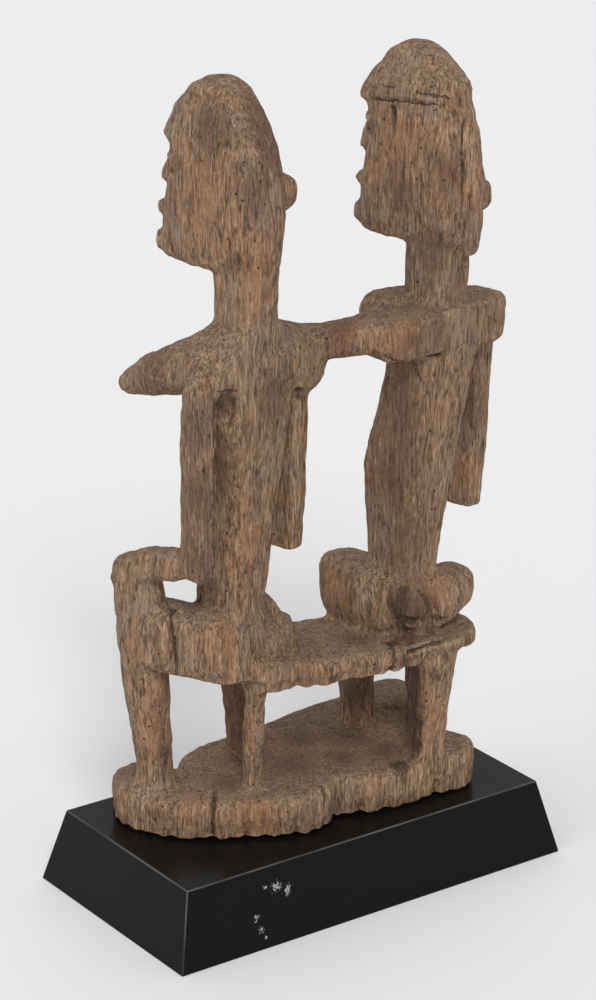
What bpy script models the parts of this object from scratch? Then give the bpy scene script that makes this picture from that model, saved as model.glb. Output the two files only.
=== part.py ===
"""Seated couple carved from one block of wood, resting on a black plinth. Metres, +Z up, facing -Y."""
import bmesh
import bpy
from math import cos, pi, radians, sin
from mathutils import Matrix, Vector

# Driving sizes in metres
CARVING_HEIGHT = 0.208
PLINTH_LENGTH = 0.116
PLINTH_DEPTH = 0.058
PLINTH_HEIGHT = 0.021
PLINTH_SPREAD = 0.005
REST_GAP = 0.0003

# The carving is laid out on a grid of 208 parts to its height, from the plate's underside up
GRID_PARTS = 208
PART = CARVING_HEIGHT / GRID_PARTS
CARVING_BASE = PLINTH_HEIGHT + REST_GAP

# Levels in grid parts, shared by the pieces that meet there
PLATE_TOP = 11.6
MOUND_TOP = 14.6
BENCH_BELLY = 41.8
BENCH_UNDER = 44.4
BENCH_TOP = 49.0
WAIST = 65.0
ARMPIT = 119.0
SHOULDER_TOP = 138.0
JAW = 155.0
WOMAN_BROW = 186.0
WOMAN_CROWN = 203.0
MAN_BROW = 189.0
MAN_CROWN = 206.0

# How far the plate's top and the whole bench tip, in parts per part along X and Y
PLATE_RISE = (-0.015, -0.02)
BENCH_RISE = (0.055, 0.0)

# Bench supports: foot, top, half width at the foot and half width at the top, in grid parts
LEFT_POST = ((22.0, 6.6), (25.0, 12.0), 2.5, 2.5)
RIGHT_POST = ((-27.9, 17.5), (-27.5, 20.0), 4.4, 5.1)
MOUND_PLACE = (-40.0, -17.0)

# Where each figure's neck stands over the plate, in grid parts, and how far each looks round
WOMAN_PLACE = (27.0, 10.0)
WOMAN_TURN = radians(16)
MAN_PLACE = (-30.0, 16.0)
MAN_TURN = radians(12)
MAN_HEAD_TURN = radians(16)
MAN_SEAT_PLACE = (-26.0, 16.0)
WOMAN_HEAD_DEPTH = 35.0
MAN_HEAD_DEPTH = 34.5

# Facets
RING_POINTS = 16
SMOOTH_ANGLE = radians(40)
MERGE_DISTANCE = 0.000001
WOOD_COLOUR = (0.19, 0.12, 0.075, 1.0)
LACQUER_COLOUR = (0.008, 0.008, 0.009, 1.0)


def clear_scene():
    for thing in list(bpy.data.objects):
        bpy.data.objects.remove(thing, do_unlink=True)


def make_material(name, colour, roughness):
    material = bpy.data.materials.new(name)
    material.use_nodes = True
    shader = material.node_tree.nodes["Principled BSDF"]
    shader.inputs["Base Color"].default_value = colour
    shader.inputs["Roughness"].default_value = roughness
    shader.inputs["Metallic"].default_value = 0.0
    return material


class Figure:
    """A figure's own frame: side is its left, front is ahead of it, up is from the plate's underside."""

    def __init__(self, place, turn):
        self.origin = Vector((place[0], place[1], 0.0))
        self.side = Vector((cos(turn), sin(turn), 0.0))
        self.front = Vector((sin(turn), -cos(turn), 0.0))

    def spot(self, side, front, up):
        return self.origin + side * self.side + front * self.front + Vector((0, 0, up))


def signed_power(value, power):
    return abs(value) ** power * (1 if value >= 0 else -1)


def ring(centre, across, along, half_across, half_along, square=2.5, narrowing=0.0):
    """Rounded section: square 2 is an ellipse and more is boxier; narrowing thins it towards along."""
    points = []
    for step in range(RING_POINTS):
        angle = 2 * pi * (step + 0.5) / RING_POINTS
        x = signed_power(cos(angle), 2 / square)
        y = signed_power(sin(angle), 2 / square)
        x *= 1 - narrowing * y
        points.append(centre + across * (x * half_across) + along * (y * half_along))
    return points


def solid_from_rings(name, rings):
    """One closed solid skinned over rings of equal length, with a flat face on each end."""
    mesh = bmesh.new()
    loops = [[mesh.verts.new(point) for point in points] for points in rings]
    for lower, upper in zip(loops, loops[1:]):
        for here in range(len(lower)):
            ahead = (here + 1) % len(lower)
            mesh.faces.new((lower[here], lower[ahead], upper[ahead], upper[here]))
    mesh.faces.new(list(reversed(loops[0])))
    mesh.faces.new(loops[-1])
    bmesh.ops.recalc_face_normals(mesh, faces=mesh.faces)
    data = bpy.data.meshes.new(name)
    mesh.to_mesh(data)
    mesh.free()
    form = bpy.data.objects.new(name, data)
    bpy.context.scene.collection.objects.link(form)
    return form


def column(name, figure, levels, square=3.0):
    """Upright form: each level is (up, side, front, half side, half front)."""
    rings = []
    for up, side, front, half_side, half_front in levels:
        centre = figure.spot(side, front, up)
        rings.append(ring(centre, figure.side, figure.front, half_side, half_front, square))
    return solid_from_rings(name, rings)


def bar(name, centres, halves, ahead_axis, square):
    """Form skinned along a path of centres, each with its half width and half thickness."""
    rings = []
    for index, (half_across, half_thick) in enumerate(halves):
        behind = centres[max(index - 1, 0)]
        ahead = centres[min(index + 1, len(centres) - 1)]
        along = (ahead - behind).normalized()
        reference = ahead_axis if abs(along.z) > 0.7 else Vector((0, 0, 1))
        across = along.cross(reference).normalized()
        thick = across.cross(along)
        rings.append(ring(centres[index], across, thick, half_across, half_thick, square))
    return solid_from_rings(name, rings)


def limb(name, figure, stations, square=2.6):
    """Bar in a figure's frame: each station is (side, front, up, half across, half thick)."""
    centres = [figure.spot(*station[:3]) for station in stations]
    halves = [station[3:] for station in stations]
    return bar(name, centres, halves, figure.front, square)


def prism(name, outline, low, high, inset, rise=(0.0, 0.0), under_rise=(0.0, 0.0)):
    """Board with an eased upper edge; the rises tip its top and its underside along X and Y."""
    middle = sum((Vector((x, y, 0)) for x, y in outline), Vector()) / len(outline)
    edge = [Vector((x, y, 0)) for x, y in outline]
    pulled = [point - (point - middle).normalized() * inset for point in edge]

    def lifted(point, level, tipping):
        tip = (point.x - middle.x) * tipping[0] + (point.y - middle.y) * tipping[1]
        return point + Vector((0, 0, level + tip))

    rings = [
        [lifted(point, low, under_rise) for point in edge],
        [lifted(point, high - inset, rise) for point in edge],
        [lifted(point, high, rise) for point in pulled],
    ]
    return solid_from_rings(name, rings)


def rounded_outline(corners, steps):
    """Corner-cut outline: each corner is (x, y, radius) and becomes a short run of an arc."""
    outline = []
    count = len(corners)
    for index in range(count):
        x, y, radius = corners[index]
        here = Vector((x, y))
        before = (Vector(corners[index - 1][:2]) - here).normalized()
        after = (Vector(corners[(index + 1) % count][:2]) - here).normalized()
        start = here + before * radius
        end = here + after * radius
        for step in range(steps + 1):
            share = step / steps
            point = start.lerp(here, share).lerp(here.lerp(end, share), share)
            outline.append((point.x, point.y))
    return outline


def head(name, figure, brow, crown, depth):
    """Narrow head, long from front to back, with a flat jaw and a domed crown."""
    dome = crown - brow
    levels = (
        (JAW, -0.22, 0.70, 6.5),
        (JAW + 2, -0.25, 0.75, 7.5),
        (JAW + 14, -0.26, 0.70, 9.0),
        (brow - 8, -0.23, 0.65, 9.0),
        (brow - 1, -0.19, 0.65, 8.6),
        (brow + 1, -0.18, 0.71, 8.4),
        (brow + 0.5 * dome, -0.08, 0.61, 7.2),
        (brow + 0.84 * dome, 0.03, 0.48, 5.0),
        (crown, 0.14, 0.32, 2.4),
    )
    rings = []
    for up, back_share, front_share, half_side in levels:
        back = depth * back_share
        front = depth * front_share
        centre = figure.spot(0, (back + front) / 2, up)
        half_front = (front - back) / 2
        rings.append(ring(centre, figure.side, figure.front, half_side, half_front, 2.8, 0.18))
    return solid_from_rings(name, rings)


def face(name, figure, brow, crown, depth):
    """A plain face of stacked blocks, spaced by shares of the head's height."""
    tall = crown - JAW
    nose_tip = JAW + 0.40 * tall
    lips = JAW + 0.26 * tall
    chin = JAW + 0.08 * tall
    nose = (
        (0, depth * 0.57, brow, 2.4, 2.4),
        (0, depth * 0.62, (brow + nose_tip) / 2, 2.4, 2.8),
        (0, depth * 0.66, nose_tip, 3.0, 3.2),
    )
    mouth = (
        (0, depth * 0.50, lips, 4.4, 2.4),
        (0, depth * 0.745, lips, 3.4, 1.8),
    )
    beard = (
        (0, depth * 0.50, chin, 5.2, 3.2),
        (0, depth * 0.76, chin, 3.6, 2.6),
    )
    return [
        limb(name + "_nose", figure, nose, 4.0),
        limb(name + "_mouth", figure, mouth, 4.0),
        limb(name + "_chin", figure, beard, 4.0),
    ]


def ear(name, figure, which, front, up, half_high):
    """Half-round ear that stands out from the side of the head."""
    stations = (
        (which * 6.0, front + 1.5, up, 3.6, half_high),
        (which * 10.5, front, up, 3.2, half_high - 0.6),
        (which * 13.0, front - 1.5, up, 1.8, half_high - 2.6),
    )
    return limb(name, figure, stations)


def neck(name, figure, forward):
    levels = (
        (SHOULDER_TOP - 8, 0, forward, 9.0, 8.4),
        (SHOULDER_TOP + 4, 0, forward, 6.9, 7.4),
        (JAW - 2, 0, forward, 6.9, 7.6),
        (JAW + 8, 0, forward, 7.4, 8.4),
    )
    return column(name, figure, levels)


def lower_leg(name, figure, knee, ankle, knee_half, ankle_half):
    """Leg that stands on the plate, with its foot eased into it."""
    foot = (ankle[0], ankle[1], PLATE_TOP - 4)
    stations = (
        (*knee, *knee_half),
        (*ankle, *ankle_half),
        (*foot, ankle_half[0] + 0.8, ankle_half[1] + 0.8),
    )
    return limb(name, figure, stations)


def post(name, foot, top, foot_half, top_half):
    """Bench support in plate coordinates, flared where it meets the bench."""
    ground = Figure((0, 0), 0)
    flare = (BENCH_UNDER - PLATE_TOP) * 0.16
    stations = (
        (foot[0], -foot[1], PLATE_TOP - 4, foot_half + 0.8, foot_half + 0.8),
        (foot[0], -foot[1], PLATE_TOP + 5, foot_half, foot_half),
        (top[0], -top[1], BENCH_UNDER - flare, top_half, top_half),
        (top[0], -top[1], BENCH_UNDER + 3, top_half * 1.4, top_half * 1.4),
    )
    return limb(name, ground, stations, 3.2)


def woman_forms():
    woman = Figure(WOMAN_PLACE, WOMAN_TURN)
    torso = (
        (BENCH_TOP - 2, 1.5, 4.0, 11.5, 9.0),
        (BENCH_TOP + 8, 1.0, 4.0, 10.4, 8.6),
        (WAIST, 0, 5.0, 7.0, 8.0),
        (WAIST + 28, 0, 2.6, 9.4, 8.0),
        (ARMPIT, 0, 1.6, 13.0, 9.2),
        (SHOULDER_TOP - 3, 0, 1.0, 12.0, 8.0),
        (SHOULDER_TOP + 3, 0, 0.5, 8.6, 8.0),
    )
    shoulders = (
        (20.6, 1.2, 124.6, 3.4, 4.2),
        (14.0, 1.2, 128.2, 5.6, 6.8),
        (0, 0, 131.0, 8.6, 8.6),
        (-12.0, 0, 129.5, 8.6, 9.4),
        (-20.0, -1.0, 127.0, 8.0, 9.2),
        (-25.5, -2.0, 124.5, 4.6, 6.4),
    )
    left_breast = (
        (8.0, -1.0, 131.0, 7.0, 8.4),
        (10.0, 11.0, 131.6, 6.5, 8.9),
        (10.0, 22.5, 125.4, 4.8, 5.4),
        (10.0, 30.0, 122.0, 3.0, 3.2),
        (10.0, 32.8, 120.8, 1.4, 1.8),
    )
    right_breast = [(-side, front, up, wide, tall) for side, front, up, wide, tall in left_breast]
    left_arm = (
        (18.0, 0.8, 128.0, 3.4, 3.6),
        (18.0, 0.8, 112.0, 3.8, 3.8),
        (18.0, 0.8, 92.0, 3.7, 3.7),
        (18.0, 1.0, 76.0, 4.1, 4.3),
    )
    left_forearm = (
        (18.2, -2.2, 79.2, 4.0, 5.4),
        (17.6, 8.0, 79.6, 3.8, 4.2),
        (16.6, 17.0, 77.6, 3.8, 4.2),
        (16.0, 24.6, 72.4, 4.2, 6.2),
        (15.8, 26.6, 68.0, 3.2, 5.4),
    )
    left_hand = (
        (16.0, 22.6, 78.0, 3.8, 4.4),
        (16.0, 22.4, 69.0, 4.0, 7.2),
        (15.8, 22.0, 61.0, 3.8, 7.8),
    )
    right_arm = (
        (-18.6, 0.6, 126.0, 3.8, 4.8),
        (-18.6, 0.8, 112.0, 3.7, 4.6),
        (-18.4, 1.0, 92.0, 3.5, 4.5),
        (-17.8, 1.0, 76.0, 3.2, 4.0),
    )
    left_thigh = (
        (5.5, 1.0, 56.0, 8.0, 9.0),
        (10.5, 8.0, 56.5, 8.0, 9.2),
        (14.0, 18.0, 57.0, 7.2, 9.2),
        (15.4, 27.0, 56.0, 5.4, 8.4),
    )
    right_thigh = (
        (-6.0, 1.0, 56.0, 7.0, 9.0),
        (-11.0, 8.0, 56.0, 6.6, 8.4),
        (-13.0, 15.0, 55.0, 6.2, 8.0),
        (-13.6, 21.0, 54.0, 5.0, 7.0),
    )
    buttock = (
        (-3.0, 2.0, 50.4, 7.0, 8.6),
        (-9.0, 0, 50.0, 7.6, 9.8),
        (-13.2, -0.6, 51.8, 6.4, 9.6),
        (-16.0, -0.8, 51.6, 4.0, 6.6),
    )
    return [
        column("woman_torso", woman, torso, 4.0),
        limb("woman_shoulders", woman, shoulders),
        limb("woman_left_breast", woman, left_breast, 2.2),
        limb("woman_right_breast", woman, right_breast, 2.2),
        limb("woman_left_arm", woman, left_arm, 5.0),
        limb("woman_left_forearm", woman, left_forearm, 3.0),
        limb("woman_left_hand", woman, left_hand, 3.0),
        limb("woman_right_arm", woman, right_arm, 5.0),
        limb("woman_left_thigh", woman, left_thigh, 3.2),
        limb("woman_right_thigh", woman, right_thigh, 3.0),
        limb("woman_buttock", woman, buttock, 2.2),
        lower_leg("woman_left_leg", woman, (15.0, 21.8, 50.0), (9.8, 22.6, 18.0), (5.4, 6.4), (4.4, 4.6)),
        lower_leg("woman_right_leg", woman, (-16.0, 17.8, 50.0), (-20.8, 18.2, 18.0), (4.4, 4.6), (3.4, 3.6)),
        neck("woman_neck", woman, 0.2),
        head("woman_head", woman, WOMAN_BROW, WOMAN_CROWN, WOMAN_HEAD_DEPTH),
        ear("woman_right_ear", woman, -1, -3.0, 173.5, 5.6),
        *face("woman", woman, WOMAN_BROW, WOMAN_CROWN, WOMAN_HEAD_DEPTH),
    ]


def man_forms():
    man = Figure(MAN_PLACE, MAN_TURN)
    looking = Figure(MAN_PLACE, MAN_HEAD_TURN)
    seat = Figure(MAN_SEAT_PLACE, 0)
    torso = (
        (BENCH_TOP - 3, 4.0, 4.5, 7.0, 6.5),
        (BENCH_TOP + 1, 4.0, 4.5, 7.6, 7.0),
        (BENCH_TOP + 7, 4.5, 5.0, 9.6, 9.0),
        (WAIST, 4.6, 6.8, 7.0, 7.6),
        (WAIST + 28, 3.1, 6.6, 10.2, 9.8),
        (ARMPIT, 0.6, 3.0, 10.2, 9.0),
        (SHOULDER_TOP - 6, 0, 0.6, 12.0, 8.0),
        (SHOULDER_TOP + 1, 0, 0, 9.0, 8.0),
    )
    shoulders = (
        (22.0, 3.4, 133.0, 7.8, 5.6),
        (17.0, 2.6, 133.2, 9.4, 6.2),
        (8.0, 1.0, 132.8, 8.4, 6.6),
        (-16.0, 0, 132.0, 7.4, 6.8),
        (-19.8, 0, 131.6, 6.2, 6.4),
    )
    right_arm = (
        (-19.6, 3.0, 130.0, 4.0, 3.8),
        (-20.8, 4.6, 112.0, 3.7, 3.9),
        (-21.0, 5.4, 92.0, 3.4, 3.6),
        (-20.4, 6.8, 82.0, 3.4, 4.6),
        (-20.2, 7.0, 76.0, 3.3, 4.6),
    )
    left_thigh = (
        (5.0, 3.0, 56.0, 7.0, 8.4),
        (9.4, 9.0, 57.6, 7.6, 9.6),
        (10.4, 20.0, 57.0, 6.8, 9.8),
        (10.4, 25.0, 56.0, 5.0, 8.2),
    )
    right_thigh = (
        (-4.0, -1.0, 55.0, 7.0, 7.6),
        (-8.0, 10.0, 55.6, 6.0, 7.2),
        (-11.5, 18.0, 56.0, 5.4, 7.0),
        (-13.4, 23.0, 55.0, 4.2, 6.0),
    )
    buttock = (
        (-1.0, 0, 55.6, 7.0, 8.0),
        (-7.0, 0.6, 56.4, 7.0, 7.4),
        (-13.4, 2.4, 57.4, 6.0, 6.4),
        (-17.0, 3.0, 57.2, 3.8, 4.2),
    )
    chest = (
        (16.0, 9.2, 135.4, 5.0, 5.2),
        (11.5, 9.2, 135.6, 6.8, 6.4),
        (-9.0, 9.6, 134.0, 7.0, 5.8),
        (-13.0, 9.0, 133.6, 6.0, 4.6),
    )
    plait = (
        (-1.0, -2.6, MAN_BROW + 8, 2.6, 2.0),
        (-1.6, -6.4, MAN_BROW - 4, 3.0, 2.2),
        (-2.0, -8.2, MAN_BROW - 18, 3.2, 2.2),
        (-2.0, -7.4, JAW + 1, 3.2, 2.2),
        (-2.0, -7.0, JAW - 3, 2.2, 1.6),
    )
    return [
        column("man_torso", man, torso, 4.4),
        limb("man_shoulders", man, shoulders, 5.6),
        limb("man_chest", man, chest, 2.8),
        limb("man_right_arm", man, right_arm, 4.0),
        limb("man_left_thigh", seat, left_thigh, 3.4),
        limb("man_right_thigh", seat, right_thigh, 3.0),
        limb("man_buttock", seat, buttock, 2.6),
        lower_leg("man_left_leg", seat, (3.0, 23.6, 52.0), (0.6, 26.4, 18.0), (5.0, 5.4), (4.4, 4.6)),
        lower_leg("man_right_leg", seat, (-14.0, 19.0, 52.0), (-15.6, 17.4, 18.0), (4.8, 5.2), (4.0, 4.2)),
        neck("man_neck", looking, 1.4),
        head("man_head", looking, MAN_BROW, MAN_CROWN, MAN_HEAD_DEPTH),
        limb("man_plait", looking, plait, 3.0),
        ear("man_right_ear", looking, -1, -4.0, 166.0, 5.2),
        *face("man", looking, MAN_BROW, MAN_CROWN, MAN_HEAD_DEPTH),
    ]


def joining_arm():
    """The man's left arm, which lies level from his shoulder to the woman's and sags a little."""
    man = Figure(MAN_PLACE, MAN_TURN)
    woman = Figure(WOMAN_PLACE, WOMAN_TURN)
    start = man.spot(16.0, 0.2, 133.0)
    end = woman.spot(-18.0, -1.0, 130.0)
    run = ((0, 1.6, 7.2, 5.4), (0.3, 1.5, 6.2, 4.7), (0.7, 1.0, 5.6, 4.4), (1, 0.5, 6.0, 5.8))
    centres = [start.lerp(end, share) + Vector((0, 0, sag)) for share, sag, _, _ in run]
    halves = [station[2:] for station in run]
    return bar("joining_arm", centres, halves, man.front, 3.0)


def bench_forms():
    corners = (
        (31.0, 16.0, 7.0),
        (14.0, 21.0, 8.0),
        (-8.0, 26.0, 9.0),
        (-39.0, 24.0, 5.0),
        (-46.8, 14.0, 6.0),
        (-41.0, -2.0, 7.0),
        (-10.0, -6.0, 8.0),
        (34.0, -9.0, 8.0),
        (44.0, -2.0, 4.0),
    )
    belly_corners = (
        (28.0, 16.3, 4.0),
        (14.0, 20.5, 8.0),
        (-8.0, 25.4, 9.0),
        (-31.0, 24.0, 4.0),
        (-28.0, -3.0, 5.0),
        (27.0, -6.0, 5.0),
    )
    slab = rounded_outline(corners, 3)
    belly = rounded_outline(belly_corners, 3)
    return [
        prism("bench", slab, BENCH_UNDER, BENCH_TOP, 1.2, BENCH_RISE, BENCH_RISE),
        prism("bench_belly", belly, BENCH_BELLY, BENCH_UNDER + 2.2, 0.8),
        post("left_post", *LEFT_POST),
        post("right_post", *RIGHT_POST),
    ]


def plate_form():
    corners = (
        (51.8, -14.0, 5.0),
        (48.6, -1.0, 5.0),
        (35.0, 11.0, 7.0),
        (16.0, 20.6, 6.0),
        (7.0, 20.6, 2.0),
        (2.0, 15.6, 2.0),
        (-8.0, 21.0, 4.0),
        (-41.4, 21.8, 3.5),
        (-46.4, 15.6, 3.5),
        (-40.8, 4.0, 4.0),
        (-50.0, -8.0, 4.0),
        (-53.0, -18.0, 4.0),
        (-51.0, -27.0, 4.0),
        (-4.0, -24.6, 4.0),
        (5.0, -21.4, 4.0),
        (17.0, -23.8, 4.0),
        (28.0, -19.6, 3.0),
        (33.0, -12.4, 2.5),
        (37.0, -24.0, 4.0),
        (47.0, -25.0, 5.0),
    )
    return prism("plate", rounded_outline(corners, 2), 0.0, PLATE_TOP, 1.6, PLATE_RISE)


def mound_form():
    """Low swelling of the plate under the man's right foot."""
    ground = Figure(MOUND_PLACE, 0)
    levels = (
        (PLATE_TOP - 4, 0, 0, 12.8, 9.6),
        (PLATE_TOP, 0, 0, 12.6, 9.4),
        (MOUND_TOP - 0.8, 0, 0, 11.4, 8.4),
        (MOUND_TOP, 0, 0, 9.4, 6.6),
    )
    return column("mound", ground, levels, 2.4)


def join_forms(name, forms, material):
    """Boolean union of all forms into one closed object, scaled from grid parts to metres."""
    others = bpy.data.collections.new(name + "_forms")
    bpy.context.scene.collection.children.link(others)
    first = forms[0]
    for form in forms[1:]:
        bpy.context.scene.collection.objects.unlink(form)
        others.objects.link(form)
    union = first.modifiers.new("union", "BOOLEAN")
    union.operation = "UNION"
    union.solver = "EXACT"
    union.operand_type = "COLLECTION"
    union.collection = others
    bpy.context.view_layer.update()
    evaluated = first.evaluated_get(bpy.context.evaluated_depsgraph_get())
    data = bpy.data.meshes.new_from_object(evaluated)
    data.name = name
    data.transform(Matrix.Translation((0, 0, CARVING_BASE)) @ Matrix.Scale(PART, 4))
    finish_mesh(data, material)
    joined = bpy.data.objects.new(name, data)
    bpy.context.scene.collection.objects.link(joined)
    for form in forms:
        bpy.data.objects.remove(form, do_unlink=True)
    bpy.data.collections.remove(others)
    return joined


def finish_mesh(data, material):
    """Drops slivers, cuts every face into triangles and shades the round stretches smooth."""
    mesh = bmesh.new()
    mesh.from_mesh(data)
    bmesh.ops.remove_doubles(mesh, verts=mesh.verts, dist=MERGE_DISTANCE)
    bmesh.ops.dissolve_degenerate(mesh, dist=MERGE_DISTANCE, edges=mesh.edges)
    bmesh.ops.triangulate(mesh, faces=mesh.faces)
    for part in mesh.faces:
        part.smooth = True
    for edge in mesh.edges:
        edge.smooth = edge.calc_face_angle(0.0) < SMOOTH_ANGLE
    mesh.to_mesh(data)
    mesh.free()
    data.materials.clear()
    data.materials.append(material)


def make_plinth(material):
    """Low black block whose four sides lean outwards to its foot."""
    rings = []
    for height, spread in ((0.0, PLINTH_SPREAD), (PLINTH_HEIGHT, 0.0)):
        half_x = PLINTH_LENGTH / 2 + spread
        half_y = PLINTH_DEPTH / 2 + spread
        corners = ((half_x, half_y), (-half_x, half_y), (-half_x, -half_y), (half_x, -half_y))
        rings.append([Vector((x, y, height)) for x, y in corners])
    plinth = solid_from_rings("plinth", rings)
    plinth.data.materials.append(material)
    return plinth


def build():
    clear_scene()
    wood = make_material("weathered_wood", WOOD_COLOUR, 0.85)
    lacquer = make_material("black_lacquer", LACQUER_COLOUR, 0.35)
    forms = [plate_form(), mound_form()]
    forms += bench_forms()
    forms += woman_forms()
    forms += man_forms()
    forms.append(joining_arm())
    join_forms("carved_couple", forms, wood)
    make_plinth(lacquer)


build()
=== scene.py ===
from math import cos, radians, sin

import bmesh
import bpy
import numpy
from mathutils import Matrix, Vector, noise


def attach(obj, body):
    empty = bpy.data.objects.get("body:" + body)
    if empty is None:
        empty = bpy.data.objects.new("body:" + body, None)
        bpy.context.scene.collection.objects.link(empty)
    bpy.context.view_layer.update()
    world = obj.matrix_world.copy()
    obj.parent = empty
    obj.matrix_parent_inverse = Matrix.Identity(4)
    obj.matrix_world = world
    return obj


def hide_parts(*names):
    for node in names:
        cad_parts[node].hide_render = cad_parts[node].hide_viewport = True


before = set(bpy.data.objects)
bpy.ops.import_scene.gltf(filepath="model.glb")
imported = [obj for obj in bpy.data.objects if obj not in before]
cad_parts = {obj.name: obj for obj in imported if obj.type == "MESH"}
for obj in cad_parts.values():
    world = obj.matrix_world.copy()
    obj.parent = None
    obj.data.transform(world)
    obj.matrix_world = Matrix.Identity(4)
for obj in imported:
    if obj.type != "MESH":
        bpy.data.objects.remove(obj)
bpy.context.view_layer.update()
mm = 0.001
mergeWithin = 0.000001        # metres

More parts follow.
